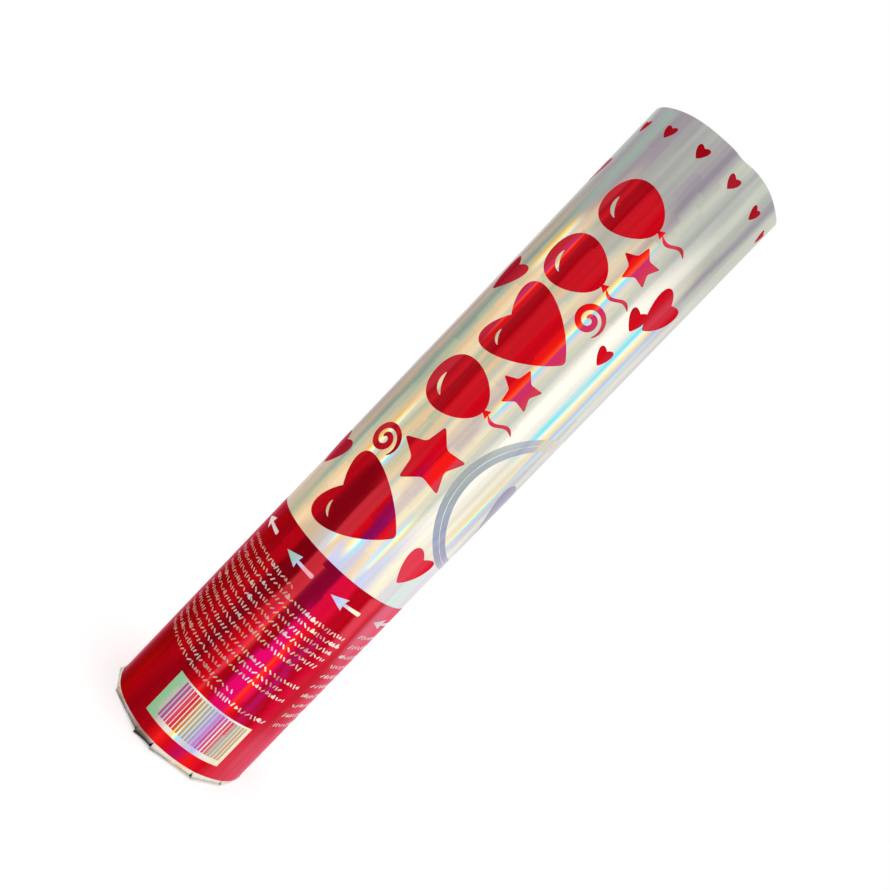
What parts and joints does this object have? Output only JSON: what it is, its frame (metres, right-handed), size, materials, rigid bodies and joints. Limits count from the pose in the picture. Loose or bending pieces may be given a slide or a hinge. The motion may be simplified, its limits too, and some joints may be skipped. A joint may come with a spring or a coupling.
{
  "type": "confetti popper",
  "caption": "Foil-wrapped card tube whose barrel twists on its base: a cam draws the stopper from an air bottle, and the air throws a wad, paper slips and a cover disc from the muzzle.",
  "frame": {"origin": "middle of the flat face it stands on, on the tube's axis", "axes": "+Z along the tube from the base to the muzzle; -Y is the side of the print that faces out"},
  "size_m": [0.0508, 0.0508, 0.24],
  "materials": {
    "red_foil": "gloss red ink over holographic foil",
    "silver_foil": "gloss holographic silver foil",
    "tube_card": "spiral-wound kraft card",
    "disc_card": "grey board",
    "cover_card": "white-lined board",
    "cradle_plastic": "moulded black plastic",
    "bottle_aluminium": "drawn, satin",
    "ferrule_aluminium": "pressed, bright",
    "seal_rubber": "moulded black rubber",
    "valve_plastic": "moulded natural nylon",
    "stopper_plastic": "moulded red plastic",
    "washer_plastic": "stamped nylon",
    "spring_steel": "oiled spring steel",
    "pin_steel": "ground steel",
    "collar_plastic": "moulded white plastic",
    "wad_foam": "closed-cell white foam",
    "red_paper": "tissue slips",
    "silver_paper": "metallised film slips",
    "pink_paper": "tissue slips",
    "white_paper": "tissue slips"
  },
  "bodies": {
    "base": {"base_disc": "disc_card", "base_tube": "tube_card", "base_wrap": "red_foil", "cylinder_cradle": "cradle_plastic", "coupling_sleeve": "tube_card", "centring_ring": "tube_card", "air_cylinder": "bottle_aluminium", "fill_valve": "seal_rubber", "neck_gasket": "seal_rubber", "valve_head": "valve_plastic", "crimp_ferrule": "ferrule_aluminium", "thrust_washer": "washer_plastic", "retaining_clip": "spring_steel"},
    "barrel": {"barrel_tube": "tube_card", "barrel_wrap": "silver_foil", "release_collar": "collar_plastic"},
    "release_stopper": {"stopper": "stopper_plastic", "stopper_seals": "seal_rubber", "cross_pin": "pin_steel"},
    "wad": {"wad_foam": "wad_foam", "wad_card": "disc_card"},
    "confetti": {"confetti_red": "red_paper", "confetti_silver": "silver_paper", "confetti_pink": "pink_paper", "confetti_white": "white_paper"},
    "muzzle_cover": {"muzzle_disc": "cover_card"}
  },
  "joints": [
    {"name": "barrel_twist", "type": "hinge", "parent": "base", "child": "barrel", "pos_m": [0, 0, 0.0775], "axis": [0, 0, 1], "range_deg": [0, 90]},
    {"name": "stopper_lift", "type": "slide", "parent": "base", "child": "release_stopper", "axis": [0, 0, 1], "range_m": [0, 0.009]},
    {"name": "wad_launch", "type": "slide", "parent": "barrel", "child": "wad", "axis": [0, 0, 1], "range_m": [0, 0.14]},
    {"name": "confetti_launch", "type": "slide", "parent": "barrel", "child": "confetti", "axis": [0, 0, 1], "range_m": [0, 0.14]},
    {"name": "cover_launch", "type": "slide", "parent": "barrel", "child": "muzzle_cover", "axis": [0, 0, 1], "range_m": [0, 0.14]}
  ],
  "couplings": [
    {"joint": "stopper_lift", "follows": "barrel_twist", "m_per_rad": 0.005729},
    {"joint": "confetti_launch", "follows": "wad_launch", "ratio": 1},
    {"joint": "cover_launch", "follows": "wad_launch", "ratio": 1}
  ]
}
